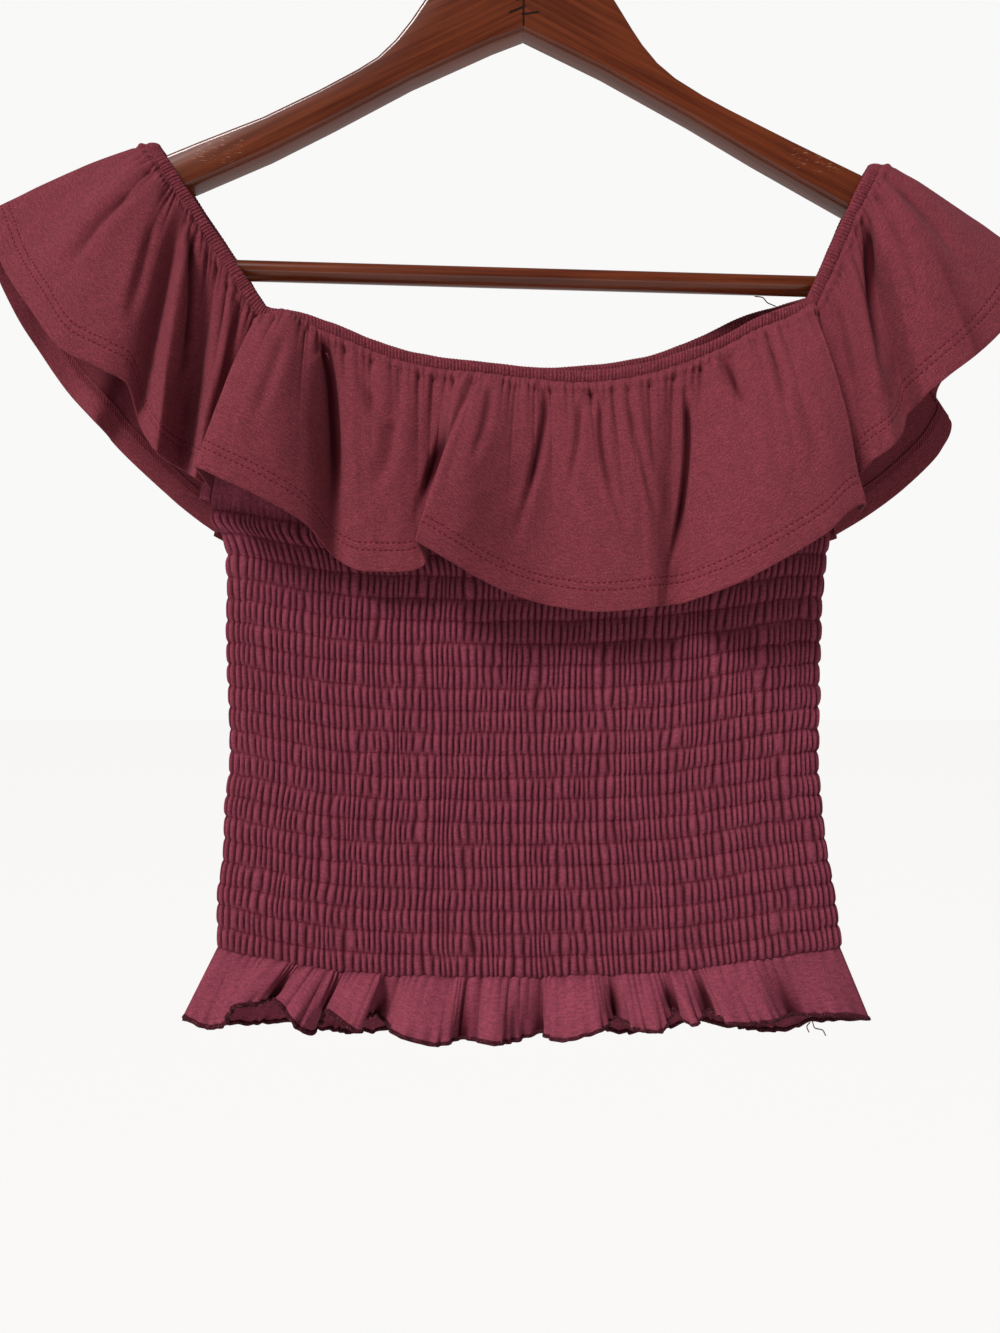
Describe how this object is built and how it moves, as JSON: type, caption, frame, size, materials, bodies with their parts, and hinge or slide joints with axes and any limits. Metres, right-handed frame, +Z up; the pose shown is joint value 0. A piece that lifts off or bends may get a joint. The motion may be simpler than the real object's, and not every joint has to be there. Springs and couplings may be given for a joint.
{
  "type": "off-shoulder top on a hanger",
  "caption": "Wine jersey off-shoulder top with a shirred bodice, neck flounce, sleeve flounces and a lettuce-edged hem ruffle, on a lacquered wooden hanger",
  "frame": {"origin": "the hanging point, inside the top of the hanger's hook", "axes": "+Z up, the garment's length; +X to the right of someone facing the front, the garment's width; the front faces -Y, its thickness"},
  "size_m": [0.4794, 0.0851, 0.5683],
  "materials": {
    "jersey": "matt wine-red cotton jersey with a fine knit grain",
    "lacquered_wood": "glossy red-brown lacquer over wood grain",
    "polished_steel": "polished plated wire"
  },
  "bodies": {
    "root": {"bodice_front": "jersey", "bodice_back": "jersey", "armhole_binding_left": "jersey", "armhole_binding_right": "jersey", "neck_casing_front": "jersey", "neck_casing_back": "jersey", "neck_casing_left": "jersey", "neck_casing_right": "jersey", "flounce_front": "jersey", "flounce_back": "jersey", "flounce_left": "jersey", "flounce_right": "jersey", "hem_ruffle_front": "jersey", "hem_ruffle_back": "jersey", "hanger_arm_left": "lacquered_wood", "hanger_arm_right": "lacquered_wood", "hanger_bar": "lacquered_wood", "hanger_hook": "polished_steel"}
  },
  "joints": []
}
